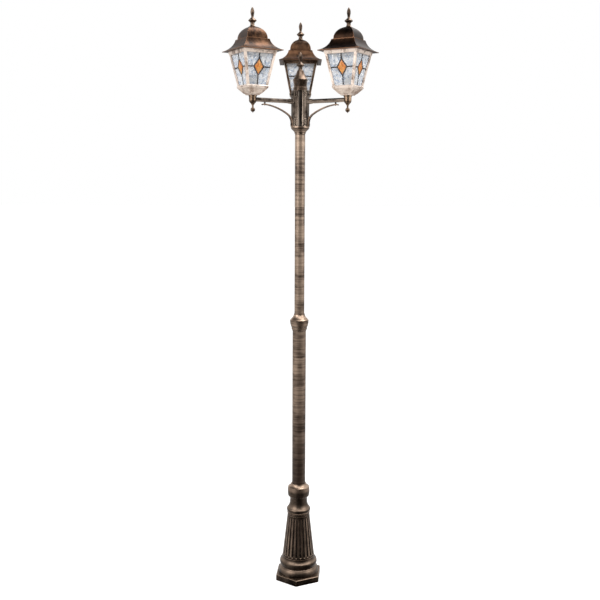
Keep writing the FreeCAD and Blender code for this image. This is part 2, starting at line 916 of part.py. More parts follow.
def build_brace(side):
    body = new_body(f"brace_{side}")
    half = s.brace_thickness / 2
    heel_level, bends = brace_path()
    near = s.saddle_reach
    far = near + s.brace_thickness
    outline = [(far, saddle_foot), (far, heel_level)]
    for centre, radius, heading, turned in bends:
        outline.append(Turn(-turned))
        outline.append(turned_about(centre, radius - half, heading))
    back = [turned_about(centre, radius + half, heading) for centre, radius, heading, _ in bends]
    for point, (_, _, _, turned) in zip(reversed(back), reversed(bends)):
        outline.append(point)
        outline.append(Turn(turned))
    outline += [(near, heel_level), (near, saddle_foot)]
    strap = draw(body_sketch(body, "strap_outline"), outline)
    pad(body, "strap", strap, s.brace_width, symmetric=True)
    hole = draw_circle(body_sketch(body, "foot_hole_outline", "YZ_Plane"), 0, brace_screw_level,
                       s.screw_radius + s.slip_fit)
    pocket(body, "foot_hole", hole, s.saddle_reach + s.brace_thickness + 2, reverse=True)
    rivet = draw_circle(body_sketch(body, "tip_hole_outline", "XY_Plane"), brace_reach, 0,
                        rivet_radius + s.slip_fit)
    pocket(body, "tip_hole", rivet)
    place(body, z=arm_level, turn=ARMS[side])


def build_brace_knobs():
    """Turned spacers with a riveted stem between each brace's tip and its arm."""
    body = new_body("brace_knobs", groups=True)
    top = -s.arm_radius - s.slip_fit
    foot = s.slip_fit * 2 - s.arm_radius - s.brace_knob_height
    head = -s.arm_radius - s.brace_knob_height - s.brace_thickness - 0.8
    sketch = body_sketch(body, "knob_profile")
    x = brace_reach
    draw(sketch, [
        (x, head - 2),
        (x + knob_radius * 0.5, head - 2),
        (x + knob_radius, head),
        (x + rivet_radius, head),
        (x + rivet_radius, foot),
        (x + knob_radius + 1, (foot + top) / 2),
        (x + rivet_radius, top),
        (x + rivet_radius, top + 2.6),
        (x, top + 2.6),
    ])
    knob = body.newObject("PartDesign::Revolution", "knob")
    knob.Profile = sketch
    knob.ReferenceAxis = (sketch, ["Edge9"])
    knob.Angle = 360
    ring_of(body, "knob_ring", [knob], 3)
    place(body, z=arm_level, turn=ARMS["rear"])


def build_arm(side):
    """One casting: the saddle that clasps the column, and the horizontal arm with its flared root."""
    body = new_body(f"arm_{side}")
    inner = column_radius - 4
    half = s.saddle_width / 2
    corner = s.saddle_corner
    reach = s.saddle_reach
    saddle = body_sketch(body, "saddle_section", "XY_Plane", lift=saddle_foot)
    draw(saddle, [
        (inner, -half),
        (reach - corner, -half),
        Turn(90),
        (reach, corner - half),
        (reach, half - corner),
        Turn(90),
        (reach - corner, half),
        (inner, half),
    ])
    pad(body, "saddle", saddle, saddle_height)
    revolve(body, "arm_tube", [
        (column_radius + 6, 0),
        (arm_end, 0),
        (arm_end, s.arm_radius),
        (reach + 22, s.arm_radius),
        Turn(18),
        (reach, s.arm_root_radius),
        (column_radius + 6, s.arm_root_radius),
    ], axis="H_Axis")
    revolve(body, "wire_bore", [
        (0, 0),
        (arm_end + 1, 0),
        (arm_end + 1, s.arm_bore_radius),
        (0, s.arm_bore_radius),
    ], cut=True, axis="H_Axis")
    seat = draw_circle(body_sketch(body, "column_seat_outline", "XY_Plane", lift=saddle_foot - 1),
                       0, 0, column_radius + s.slip_fit)
    pocket(body, "column_seat", seat, saddle_height + 2, reverse=True)
    holes = body_sketch(body, "screw_hole_outlines", "YZ_Plane")
    draw_circle(holes, 0, arm_screw_level, s.screw_radius + s.slip_fit)
    draw_circle(holes, 0, brace_screw_level, s.screw_radius + s.slip_fit)
    pocket(body, "screw_holes", holes, reach + 2, reverse=True)
    rivet_hole = draw_circle(body_sketch(body, "knob_hole_outline", "XY_Plane"), brace_reach, 0,
                             rivet_radius + s.slip_fit)
    pocket(body, "knob_hole", rivet_hole, s.arm_radius + 2)

    floor_of_recess = half - s.flank_recess
    recess = body_sketch(body, "flank_recess_outlines", lift=floor_of_recess)
    middle = (column_radius + s.saddle_reach) / 2
    draw(recess, oval_outline(middle, s.saddle_rise - 22, s.saddle_rise - 8, 4))
    draw(recess, oval_outline(middle, saddle_foot + 8, saddle_foot + 28, 4))
    near_flank = pocket(body, "near_flank_recesses", recess, s.flank_recess + 1, reverse=True)
    both = body.newObject("PartDesign::Mirrored", "flank_recesses")
    both.Originals = [near_flank]
    both.MirrorPlane = (origin_item(body, "XZ_Plane"), [""])
    body.Tip = both
    place(body, z=arm_level, turn=ARMS[side])


def build_arm_cup(side, x, y):
    """Cast elbow at the arm's end: bored from the side for the arm and from above for the nipple."""
    body = new_body(f"arm_cup_{side}")
    radius = s.cup_radius
    revolve(body, "cup", [
        (0, -s.cup_depth),
        (6.5, -s.cup_depth),
        (8, 3 - s.cup_depth),
        Turn(50),
        (radius - 0.5, 14 - s.cup_depth),
        (radius - 0.5, s.cup_top - 6),
        (radius + 1, s.cup_top - 4),
        (radius + 1, s.cup_top),
        (0, s.cup_top),
    ])
    revolve(body, "nipple_bore", box_outline(0, s.nipple_radius + s.slip_fit, 0, s.cup_top + 1), cut=True)
    ball_hole = box_outline(0, s.screw_radius + s.slip_fit, -s.cup_depth - 1, 10 - s.cup_depth)
    revolve(body, "ball_stud_hole", ball_hole, cut=True)
    side_bore = draw_circle(body_sketch(body, "arm_bore_outline", "YZ_Plane"), 0, 0, s.arm_radius + s.slip_fit)
    pocket(body, "arm_bore", side_bore)
    place(body, x, y, arm_level, ARMS[side])


def build_drop_ball(side, x, y):
    body = new_body(f"drop_ball_{side}")
    ball = s.drop_ball_radius
    level = -s.drop_ball_level
    drip = 2
    neck = 3.6
    revolve(body, "ball", [
        (0, level - ball - 2.5),
        (1, level - ball - 2.5),
        (drip, level - root(ball * ball - drip * drip)),
        Turn(143.6, ball=True),
        (neck, level + root(ball * ball - neck * neck)),
        (neck, -4),
        (6, -1.5),
        (6, 0),
        (s.screw_radius, 0),
        (s.screw_radius, 8),
        (0, 8),
    ])
    place(body, x, y, arm_level - s.cup_depth)


# ---------------------------------------------------------------- lanterns


def build_nipple(side, x, y):
    """Threaded tube from the cup through the lantern's floor to the lampholder."""
    body = new_body(f"nipple_{side}")
    sketch = body_sketch(body, "nipple_section", "XY_Plane")
    draw_circle(sketch, 0, 0, s.nipple_radius)
    draw_circle(sketch, 0, 0, s.nipple_radius - s.nipple_wall)
    pad(body, "nipple_run", sketch, s.cup_top - 2 + s.holder_level + 5)
    place(body, x, y, arm_level + 2)


def build_lantern_base(side, x, y):
    """Square cup under the lantern: two coves with a step between, open to the lantern above."""
    foot = s.base_foot_half
    top = s.frame_foot_half
    wall = s.base_wall
    height = s.base_height
    outer = square_tower(f"base_{side}_outer", [
        (foot, 0),
        (foot + 1, 3),
        Turn(22),
        (foot + 11, height / 2 - 1),
        (foot + 13, height / 2 + 1),
        Turn(-16),
        (top - 1, height - 3),
        (top, height),
    ], top * 2)
    inner = square_tower(f"base_{side}_inner", [
        (foot - wall, wall),
        (foot + 10 - wall, height / 2 + 2),
        (top - 1 - wall, height - 1),
        (top - 1 - wall, height + 1),
    ], top * 2)
    hole = rod(f"base_{side}_nipple_hole", s.nipple_radius + s.slip_fit, -s.cup_top, height)
    shell = cut(f"base_{side}", outer, fuse(f"base_{side}_hollow", inner, hole))
    place(shell, x, y, lantern_level, ARMS[side])
    node(shell, f"lantern_base_{side}")


def build_lantern_frame(side, x, y):
    """Cast cage: four leaning corner posts between a foot rail and a head rail, with two bridge lugs."""
    name = f"frame_{side}"
    rail_top = frame_foot + s.foot_rail_height
    rail_foot = frame_top - s.head_rail_height
    foot_rail = s.foot_rail_proud
    head_rail = s.head_rail_proud
    outer = square_tower(name + "_outer", [
        (frame_half(frame_foot) + foot_rail, frame_foot),
        (frame_half(rail_top) + foot_rail, rail_top - 3),
        (frame_half(rail_top), rail_top),
        (frame_half(rail_foot), rail_foot),
        (frame_half(rail_foot) + head_rail, rail_foot + 2),
        (s.frame_top_half + head_rail, frame_top),
    ], (s.frame_top_half + head_rail) * 2)
    inner = square_tower(name + "_inner", [
        (frame_half(frame_foot - 1) - s.frame_wall, frame_foot - 1),
        (frame_half(frame_top + 1) - s.frame_wall, frame_top + 1),
    ], s.frame_top_half * 2)
    window = draw(upright_sketch(name + "_window"), mirrored([
        (frame_half(rail_top) - s.post_width, rail_top),
        (frame_half(rail_foot) - s.post_width, rail_foot),
    ]))
    width = s.frame_top_half * 2 + 20
    openings = [extrusion(f"{name}_window_{turn}", window, width, turn) for turn in (0, 90)]
    cage = cut(name + "_cage", outer, fuse(name + "_openings", inner, *openings))
    lug_start = frame_half(bridge_level) - s.frame_wall - lug_length
    lug = block(name + "_lug", lug_length + s.frame_wall / 2, s.bridge_width + 2, lug_height,
                lug_start, 0, bridge_level - lug_height)
    far_lug = doc.addObject("Part::Mirroring", name + "_far_lug")
    far_lug.Source = lug
    far_lug.Normal = Vector(1, 0, 0)
    frame = fuse(name, cage, lug, far_lug)
    place(frame, x, y, lantern_level, ARMS[side])
    node(frame, f"lantern_frame_{side}")


def pane_sketch(body, name, stand_off):
    """A sketch on the leaning plane of the +X face, its origin at the frame's foot level.

    The plane lies the given distance inside the face of the frame, square to it.
    """
    lean = slope_angle(s.frame_top_half - s.frame_foot_half, s.frame_height)
    sketch = body_sketch(body, name, "YZ_Plane")
    inset = s.frame_foot_half - stand_off / cosine(lean)
    sketch.AttachmentOffset = Placement(Vector(0, value(frame_foot), value(inset)),
                                        Rotation(Vector(1, 0, 0), value(lean)))
    sketch.setExpression("AttachmentOffset.Base.y", formula(frame_foot))
    sketch.setExpression("AttachmentOffset.Base.z", formula(inset))
    sketch.setExpression("AttachmentOffset.Rotation.Angle", formula(lean))
    return sketch


def build_glass(side, x, y):
    """Four textured panes, set against the inside of the frame."""
    body = new_body(f"lantern_glass_{side}", groups=True)
    foot = (s.foot_rail_height - 5) * frame_slant
    top = (s.frame_height - s.head_rail_height + 2) * frame_slant
    clear = s.frame_wall + s.pane_thickness + s.seat_gap * 2
    outline = mirrored([
        (s.frame_foot_half + foot / frame_slant * frame_lean - clear, foot),
        (s.frame_foot_half + top / frame_slant * frame_lean - clear, top),
    ])
    sketch = draw(pane_sketch(body, "pane_outline", glass_plane + s.pane_thickness), outline)
    pane = pad(body, "pane", sketch, s.pane_thickness)
    ring_of(body, "panes", [pane], 4)
    place(body, x, y, lantern_level, ARMS[side])


def diamond_corners(grow):
    """The rhombus in the middle of a pane, widened by the given distance along each diagonal."""
    middle = s.diamond_level * frame_slant
    half_width = s.diamond_width / 2 + grow
    half_height = s.diamond_height / 2 + grow * 1.5
    return [(half_width, middle), (0, middle + half_height), (-half_width, middle), (0, middle - half_height)]


def build_leading(side, x, y):
    """Lead strips on the outside of each pane: a rhombus and the four strips that tie it to the frame."""
    body = new_body(f"pane_leading_{side}", groups=True)
    half = s.lead_width / 2
    edge = s.lead_width * 0.6
    rhombus = pane_sketch(body, "rhombus_outline", glass_plane)
    draw(rhombus, diamond_corners(edge))
    draw(rhombus, diamond_corners(-edge))
    ring = pad(body, "rhombus", rhombus, s.lead_thickness)
    strips = pane_sketch(body, "strip_outlines", glass_plane)
    middle = s.diamond_level * frame_slant
    foot = s.foot_rail_height * frame_slant + lead_end_gap
    top = (s.frame_height - s.head_rail_height) * frame_slant - lead_end_gap
    side_half = s.frame_foot_half + frame_lean * s.diamond_level - s.post_width - 1
    tip = diamond_corners(0)
    draw(strips, box_outline(-half, half, foot, tip[3][1]))
    draw(strips, box_outline(-half, half, tip[1][1], top))
    draw(strips, box_outline(tip[0][0], side_half, middle - half, middle + half))
    draw(strips, box_outline(-side_half, tip[2][0], middle - half, middle + half))
    bars = pad(body, "strips", strips, s.lead_thickness)
    ring_of(body, "leads", [ring, bars], 4)
    place(body, x, y, lantern_level, ARMS[side])


def build_diamonds(side, x, y):
    """Amber glass rhombus in the lead of each pane."""
    body = new_body(f"amber_diamonds_{side}", groups=True)
    sketch = pane_sketch(body, "amber_outline", glass_plane)
    draw(sketch, diamond_corners(-s.lead_width * 0.6 - s.seat_gap))
    amber = pad(body, "amber", sketch, s.lead_thickness / 2)
    ring_of(body, "ambers", [amber], 4)
    place(body, x, y, lantern_level, ARMS[side])


def build_lampholder(side, x, y):
    """Screw lampholder on top of the nipple: closed base, open socket with a rolled lip."""
    body = new_body(f"lampholder_{side}")
    top = s.holder_height
    socket = s.lamp_cap_radius + s.slip_fit
    revolve(body, "holder", [
        (s.nipple_radius + s.slip_fit, 0),
        (s.holder_radius - 5, 0),
        Turn(30),
        (s.holder_radius - 1.5, 14),
        (s.holder_radius, 16),
        (s.holder_radius, top - 4),
        (s.holder_radius + 1.2, top - 3),
        (s.holder_radius + 1.2, top),
        (socket, top),
        (socket, top - s.lamp_cap_length - s.seat_gap),
        (s.nipple_radius + s.slip_fit, top - s.lamp_cap_length - s.seat_gap),
    ])
    place(body, x, y, lantern_level + s.holder_level)


def build_bulb(side, x, y):
    """Small globe lamp: screw cap in the lampholder, neck, and round bulb; the centre contact is its foot."""
    body = new_body(f"bulb_{side}")
    globe = s.lamp_globe_radius
    cap = s.lamp_cap_radius
    length = s.lamp_cap_length
    revolve(body, "lamp", [
        (0, 0),
        (4, 0),
        (cap, 6),
        (cap, length),
        (cap - 0.6, length),
        (cap - 0.6, length + 2),
        (globe * 0.8, s.lamp_length - globe * 1.6),
        Turn(126.87, ball=True),
        (0, s.lamp_length),
    ])
    place(body, x, y, lantern_level + s.holder_level + s.holder_height - length)


def build_bridge(side, x, y):
    """Strap across the head of the frame, with the stud that the roof and its finial are fixed to."""
    name = f"bridge_{side}"
    reach = frame_half(bridge_level) - s.frame_wall - s.seat_gap
    strap = block(name + "_strap", reach * 2, s.bridge_width, s.bridge_thickness, -reach, 0, bridge_level)
    stud = rod(name + "_stud", s.stud_radius, bridge_level, eave_level + s.roof_height + stud_grip)
    nut = rod(name + "_nut", s.stud_radius + 2, bridge_level, bridge_level + s.bridge_thickness + 4)
    bridge = fuse(name, strap, stud, nut)
    place(bridge, x, y, lantern_level, ARMS[side])
    node(bridge, f"roof_bridge_{side}")


def build_roof(side, x, y):
    """Thin cast roof: flat eave, hollow flare, shoulder, and a four-sided dome with mitred corners."""
    name = f"roof_{side}"
    eave = s.frame_top_half + s.eave_overhang
    seat = s.frame_top_half + s.head_rail_proud
    wall = s.roof_wall
    shoulder = s.frame_top_half - s.shoulder_inset
    rise = s.shoulder_height
    dome = s.frame_top_half - s.dome_inset
    top = s.roof_height
    outer = square_tower(name + "_outer", [
        (eave, 0),
        (eave, s.eave_edge),
        Turn(-60),
        (shoulder, rise),
        (shoulder, rise + 2),
        (dome, rise + 4),
        Turn(70),
        (s.roof_top_half, top - 1),
        (s.roof_top_half - 1, top),
    ], eave * 2)
    inner = square_tower(name + "_inner", [
        (seat + 2, -1),
        (seat + 2, s.eave_drop),
        (seat - 6, s.eave_drop),
        (seat - 6, s.eave_drop + 4),
        Turn(-18),
        (shoulder - wall, rise),
        (dome - wall, rise + 2),
        Turn(70),
        (s.roof_top_half - 2, top - wall - 1),
    ], eave * 2)
    hole = rod(name + "_stud_hole", s.stud_radius + s.cap_lift_clearance, 0, top + 1)
    roof = cut(name, outer, fuse(name + "_hollow", inner, hole))
    place(roof, x, y, lantern_level + eave_level, ARMS[side])
    node(roof, f"roof_{side}")


# ---------------------------------------------------------------- assembly

build_pedestal()
build_tube("lower_tube", s.lower_tube_radius, s.lower_tube_wall, s.tube_seat_level, s.lower_tube_length)
build_tube_coupler()
build_joint_collar()
build_tube("upper_tube", s.upper_tube_radius, s.upper_tube_wall, upper_tube_foot, s.upper_tube_length)
build_hub_collar()
build_hub_column()
build_hub_cap()
build_cap_screw()
build_finial("hub_finial", 0, 0, arm_level + s.saddle_rise + s.cap_height)
build_terminal_block()
build_fastener_rings()
build_brace_knobs()
for side, angle in ARMS.items():
    centre_x = s.arm_reach * math.cos(math.radians(angle))
    centre_y = s.arm_reach * math.sin(math.radians(angle))
    build_arm(side)
    build_brace(side)
    build_arm_cup(side, centre_x, centre_y)
    build_drop_ball(side, centre_x, centre_y)
    build_nipple(side, centre_x, centre_y)
    build_lantern_base(side, centre_x, centre_y)
    build_lantern_frame(side, centre_x, centre_y)
    build_glass(side, centre_x, centre_y)
    build_leading(side, centre_x, centre_y)
    build_diamonds(side, centre_x, centre_y)
    build_lampholder(side, centre_x, centre_y)
    build_bulb(side, centre_x, centre_y)
    build_bridge(side, centre_x, centre_y)
    build_roof(side, centre_x, centre_y)
    build_finial(f"finial_{side}", centre_x, centre_y, lantern_level + eave_level + s.roof_height)
doc.recompute()

# ---------------------------------------------------------------- tests and export

faults = []
for item in doc.Objects:
    if "Invalid" in item.State or "Error" in item.State:
        faults.append(f"{item.Name} {item.Label}: {item.State}")
    if item.TypeId in ("PartDesign::Pocket", "PartDesign::Groove") and item.BaseFeature:
        removed = item.BaseFeature.Shape.Volume - item.Shape.Volume
        if removed < 1:
            faults.append(f"{item.Name} cuts nothing")
for piece in pieces:
    if piece.Shape.isNull() or not piece.Shape.isValid() or not piece.Shape.Solids:
        faults.append(f"{piece.Label}: no valid solid")
if faults:
    raise SystemExit("\n".join(faults))

os.makedirs("parts", exist_ok=True)
for piece in pieces:
    piece.Shape.exportStep(f"parts/{piece.Label}.step")
    print(f"{piece.Label}: {len(piece.Shape.Solids)} solids, {piece.Shape.Volume / 1000:.2f} cm3")
print(len(pieces), "nodes")
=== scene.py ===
"""Garden lamp post with three leaded lanterns: the looks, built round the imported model."""
import math

import bmesh
import bpy
import numpy as np
from mathutils import Matrix, Vector


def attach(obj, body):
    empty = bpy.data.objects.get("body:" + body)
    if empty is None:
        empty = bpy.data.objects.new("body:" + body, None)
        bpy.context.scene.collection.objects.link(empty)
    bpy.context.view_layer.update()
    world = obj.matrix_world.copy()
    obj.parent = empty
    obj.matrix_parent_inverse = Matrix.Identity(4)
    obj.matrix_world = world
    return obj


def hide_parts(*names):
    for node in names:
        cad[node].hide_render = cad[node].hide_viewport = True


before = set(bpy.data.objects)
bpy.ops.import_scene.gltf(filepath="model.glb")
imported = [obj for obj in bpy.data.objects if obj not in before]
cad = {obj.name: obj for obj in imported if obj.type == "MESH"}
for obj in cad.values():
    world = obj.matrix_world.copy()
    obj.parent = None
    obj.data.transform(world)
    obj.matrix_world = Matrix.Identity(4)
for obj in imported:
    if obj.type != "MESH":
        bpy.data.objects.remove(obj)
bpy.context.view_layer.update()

# ------------------------------------------------------------------ the view
# The camera stands 3.5 m in front of the post, a little above its middle, and looks slightly
# down, so that the tops of the roofs and of the plinth are both just seen.

CAMERA_PLACE = Vector((0.0025, -3.5, 1.75))
LOOK_DOWN = 8.39
CAMERA_ROLL = 0.25
LENS = 50.33
FILM_WIDTH = 36
FAR_CLIP = 60

view = bpy.data.cameras.new("view")
view.sensor_width = FILM_WIDTH
view.lens = LENS
view.clip_end = FAR_CLIP
eye = bpy.data.objects.new("view", view)
tilt = Matrix.Rotation(math.radians(90 - LOOK_DOWN), 4, "X")
roll = Matrix.Rotation(math.radians(CAMERA_ROLL), 4, "Z")
eye.matrix_world = Matrix.Translation(CAMERA_PLACE) @ (tilt @ roll)
scene = bpy.context.scene
scene.collection.objects.link(eye)
scene.camera = eye
scene.view_settings.view_transform = "Standard"


# ------------------------------------------------------------------ the studio
# A white sweep in soft light: a large lamp high on the left, a weaker one on the right, and two
# overhead. Metal mirrors a darker room on the camera's side, so round tubes have a dark core.

RAYS = 6
EDGE_TURN = (0.02, 0.22)
HOLLOW_SHADE = (0.25, 0.85)


def linear(colour):
    """A colour written as on a paint chip, 0 to 255 a channel, as the linear values that light adds up in."""
    chip = np.array(colour) / 255
    low = chip / 12.92
    high = ((chip + 0.055) / 1.055) ** 2.4
    return tuple(np.where(chip <= 0.04045, low, high)) + (1.0,)


class Signal:
    """A number that changes over a surface. Arithmetic on it adds Math nodes to its finish."""

    def __init__(self, finish, socket):
        self.finish = finish
        self.socket = socket

    def work(self, operation, *values):
        """One Math node on numbers and signals."""
        return self.finish.add("Math", {"operation": operation}, dict(enumerate(values)))

    def __add__(self, other):
        return self.work("ADD", self, other)

    def __radd__(self, other):
        return self.work("ADD", other, self)

    def __sub__(self, other):
        return self.work("SUBTRACT", self, other)

    def __rsub__(self, other):
        return self.work("SUBTRACT", other, self)

    def __mul__(self, other):
        return self.work("MULTIPLY", self, other)

    def __rmul__(self, other):
        return self.work("MULTIPLY", other, self)

    def capped(self):
        """The same, but never more than 1."""
        return self.work("MINIMUM", self, 1)

    def step(self, low, high):
        """0 below low, 1 above high, and a smooth rise between."""
        return self.finish.add("MapRange", {"interpolation_type": "SMOOTHSTEP"},
                               {"Value": self, "From Min": low, "From Max": high})


class Finish:
    """A material, or the world's light, under construction: its nodes, and the shader they feed."""

    def __init__(self, owner, shader="Principled BSDF", **constants):
        owner.use_nodes = True
        self.material = owner
        self.nodes = owner.node_tree.nodes
        self.links = owner.node_tree.links
        self.shader = self.nodes[shader]
        for socket, constant in constants.items():
            self.feed(self.shader.inputs[socket.replace("_", " ")], constant)

    def feed(self, socket, given):
        """Link a signal to a socket, or set a paint-chip colour or a number on it."""
        if isinstance(given, Signal):
            self.links.new(given.socket, socket)
        elif isinstance(given, tuple) and socket.type == "RGBA":
            socket.default_value = linear(given)
        else:
            socket.default_value = given

    def add(self, kind, settings=None, values=None, output=0):
        """Add a node: its settings first, then the values or links of its sockets."""
        node = self.nodes.new("ShaderNode" + kind)
        for setting, choice in (settings or {}).items():
            setattr(node, setting, choice)
        for key, given in (values or {}).items():
            self.feed(node.inputs[key], given)
        return Signal(self, node.outputs[output])

    def place(self):
        """Where a point lies on the object, in metres."""
        return self.add("TexCoord", output="Object")

    def along(self, axis, vector=None):
        """One of the three object coordinates, in metres, or one part of a given vector."""
        return self.add("SeparateXYZ", values={0: vector or self.place()}, output=axis)

    def noise(self, scale, detail=3, rough=0.55, stretch=(1, 1, 1), vector=None, warp=0.0):
        """Cloudy noise of so many clouds to the metre, finer along the axes that are stretched more."""
        where = self.add("Mapping", values={"Vector": vector or self.place(), "Scale": stretch})
        return self.add("TexNoise", values={"Vector": where, "Scale": scale, "Detail": detail,
                                            "Roughness": rough, "Distortion": warp})

    def blend(self, amount, under, over):
        """A colour over another: all under at 0, all over at 1."""
        return self.add("Mix", {"data_type": "RGBA"}, {0: amount, 6: under, 7: over}, output=2)

    def edges(self, radius):
        """1 on the edges of a piece and 0 on its flats: how far a rounded normal leaves the true one."""
        rounded = self.add("Bevel", {"samples": RAYS}, {"Radius": radius})
        true = self.add("NewGeometry", output="Normal")
        along = self.add("VectorMath", {"operation": "DOT_PRODUCT"}, {0: rounded, 1: true}, output="Value")
        return (1 - along).step(*EDGE_TURN)

    def hollows(self, reach):
        """1 deep in grooves and corners, 0 in the open."""
        open_sky = self.add("AmbientOcclusion", {"samples": RAYS}, {"Distance": reach}, output="AO")
        return (1 - open_sky).step(*HOLLOW_SHADE)

    def finish(self, colour, roughness, metal, height=None, depth=0.0004, strength=0.6):
        """Feed the shader its colour, roughness, metal and bump."""
        self.feed(self.shader.inputs["Base Color"], colour)
        self.feed(self.shader.inputs["Roughness"], roughness)
        self.feed(self.shader.inputs["Metallic"], metal)
        if height:
            bump = self.add("Bump", values={"Height": height, "Distance": depth, "Strength": strength})
            self.feed(self.shader.inputs["Normal"], bump)
        return self.material


def new_finish(name, **constants):
    """Start a material, with what is the same all over it set on the shader's own sockets."""
    return Finish(bpy.data.materials.new(name), **constants)


def wear(material, *names):
    """Give CAD nodes their finish."""
    for name in names:
        mesh = cad[name].data
        if not mesh.materials:
            mesh.materials.append(None)
        for number in range(len(mesh.materials)):
            mesh.materials[number] = material


DARK_TURN = math.radians(14)
DARK_SPREAD = (0.4, 0.98)


def dark_side(finish, direction):
    """1 towards the unlit side of the room, a little right of the camera, and 0 away from it."""
    right, back = finish.along("X", direction), finish.along("Y", direction)
    return (right * math.sin(DARK_TURN) - back * math.cos(DARK_TURN)).step(*DARK_SPREAD)


FLOOR_SIDE = 90
PALE_FLOOR, UNLIT_FLOOR = (206, 206, 206), (60, 54, 50)
FLOOR_GLOW, GLOW_LOST = 0.78, 0.2
GLOW_NEAR, GLOW_FAR = 1.5, 7

half = FLOOR_SIDE / 2
floor_mesh = bpy.data.meshes.new("floor")
floor_mesh.from_pydata([(-half, -half, 0), (half, -half, 0), (half, half, 0), (-half, half, 0)], [],
                       [(0, 1, 2, 3)])
floor = bpy.data.objects.new("floor", floor_mesh)
scene.collection.objects.link(floor)
sweep = new_finish("white_sweep", Roughness=0.9, Specular_IOR_Level=0.1)
spot = sweep.place()
from_post = sweep.add("VectorMath", {"operation": "NORMALIZE"}, {0: spot}, output="Vector")
unlit = dark_side(sweep, from_post) * sweep.add("LightPath", output="Is Glossy Ray")
sweep.feed(sweep.shader.inputs["Base Color"], sweep.blend(unlit, PALE_FLOOR, UNLIT_FLOOR))
rays = sweep.add("LightPath", output="Is Camera Ray")
sweep.feed(sweep.shader.inputs["Emission Color"], (255, 255, 255))
way_out = sweep.add("VectorMath", {"operation": "LENGTH"}, {0: spot}, output="Value")
near_post = 1 - way_out.step(GLOW_NEAR, GLOW_FAR)
sweep.feed(sweep.shader.inputs["Emission Strength"], rays * (FLOOR_GLOW - near_post * GLOW_LOST))
floor_mesh.materials.append(sweep.material)

AMBIENT = 0.62
DARK_SIDE = 0.96
DARK_CEILING = 0.92
CEILING_UP = (0.2, 0.75)
CEILING_LEFT = (-0.45, 0.2)

room = bpy.data.worlds.new("room")
scene.world = room
sky = Finish(room, "Background")
seen = sky.add("LightPath", output="Is Camera Ray")
mirrored = sky.add("LightPath", output="Is Glossy Ray")
through = sky.add("LightPath", output="Is Transmission Ray")
outward = sky.add("TexCoord", output="Generated")
towards_camera = dark_side(sky, outward)
overhead = sky.along("Z", outward).step(*CEILING_UP) * (0 - sky.along("X", outward)).step(*CEILING_LEFT)
shade = 1 - (1 - towards_camera * DARK_SIDE) * (1 - overhead * DARK_CEILING)
direct = (seen + through + mirrored).capped()
sky.feed(sky.shader.inputs["Color"], (255, 255, 255))
sky.feed(sky.shader.inputs["Strength"], direct * (1 - mirrored * shade) + (1 - direct) * AMBIENT)


def lamp(name, place, target, size, power):
    """A soft square lamp that looks at a point."""
    light = bpy.data.lights.new(name, "AREA")
    light.size = size
    light.energy = power
    holder = bpy.data.objects.new(name, light)
    holder.location = place
    holder.rotation_euler = (Vector(target) - Vector(place)).to_track_quat("-Z", "Y").to_euler()
    scene.collection.objects.link(holder)


lamp("key", (-2.6, -2.2, 2.9), target=(0, 0, 1.3), size=3.0, power=75)
lamp("fill", (2.9, -1.2, 2.6), target=(0, 0, 1.3), size=2.4, power=40)
lamp("top", (0.3, -2.2, 4.0), target=(0, 0, 0.8), size=3.0, power=55)
lamp("overhead", (1.0, 0.5, 4.3), target=(-0.1, 0, 2.2), size=1.8, power=50)


# ------------------------------------------------------------------ the pedestal
# One iron casting: hexagonal plinth, bell foot, fluted shaft, neck and collar. Painted black
# and wiped with bronze, which has stayed on the lands and edges and left the hollows dark; the hollows
# also get painted shade, and the slopes facing up, the neck and the crown painted highlights.

CLOUDS, RAG_MARKS, SPECKS = 22, 120, 900
CLOUD_EDGE, RAG_EDGE, SPECK_EDGE = (0.32, 0.7), (0.35, 0.75), (0.62, 0.74)
PAINTED_SLOPE_EDGE = (0.05, 0.7)
RAG_SHARE, RUBBED_SHARE = 0.45, 1.1
HOLLOW_BLACK_AND_SHADE, SPECK_BLACK = 0.92, 0.35
CLOUD_HEIGHT, RAG_HEIGHT, SPECK_HEIGHT = 0.3, 0.35, 0.1
RAG_DULL, HOLLOW_DULL = 0.1, 0.25


def wiped_bronze(name, dark, bronze, wipe, reach=0.016, edge=0.004, painted_slope_light=0.35, grain=(1, 1, 1), metal=0.95,
                 gloss=0.26, groove=None):
    """Black paint under wiped bronze: cloudy where the rag went and more of it on edges. Slopes that face up
    (down, for a negative value) are lightened as a painted highlight, and hollows within reach of each other
    go black: paint left in them, deepened by painted shade."""
    coat = new_finish(name, Specular_IOR_Level=0.3)
    clouds = coat.noise(CLOUDS, detail=4, rough=0.6, stretch=grain)
    rag = coat.noise(RAG_MARKS, detail=4, rough=0.6, stretch=grain)
    speck = coat.noise(SPECKS, detail=2)
    rubbed = coat.edges(edge)
    # Hollows go black: paint left in them, and painted shade.
    deep = coat.hollows(reach)
    facing_up = coat.along("Z", coat.add("NewGeometry", output="Normal"))
    # Slopes facing up, or down for a negative value, are lightened: a painted highlight.
    painted_slope_mask = (facing_up * math.copysign(1, painted_slope_light)).step(*PAINTED_SLOPE_EDGE)
    wiped = clouds.step(*CLOUD_EDGE) * wipe + rag.step(*RAG_EDGE) * wipe * RAG_SHARE
    wiped = wiped + painted_slope_mask * abs(painted_slope_light) + rubbed * RUBBED_SHARE
    if groove:
        flute, crest = groove(coat)
        deep = deep.work("MAXIMUM", deep, flute)
        wiped = wiped + crest
    shown = (wiped * (1 - deep * HOLLOW_BLACK_AND_SHADE)).capped()
    colour = coat.blend(shown, dark, bronze)
    colour = coat.blend(speck.step(*SPECK_EDGE) * SPECK_BLACK, colour, dark)
    height = clouds * CLOUD_HEIGHT + rag * RAG_HEIGHT + speck * SPECK_HEIGHT
    return coat.finish(colour, gloss + rag * RAG_DULL + deep * HOLLOW_DULL, metal, height, strength=0.25)


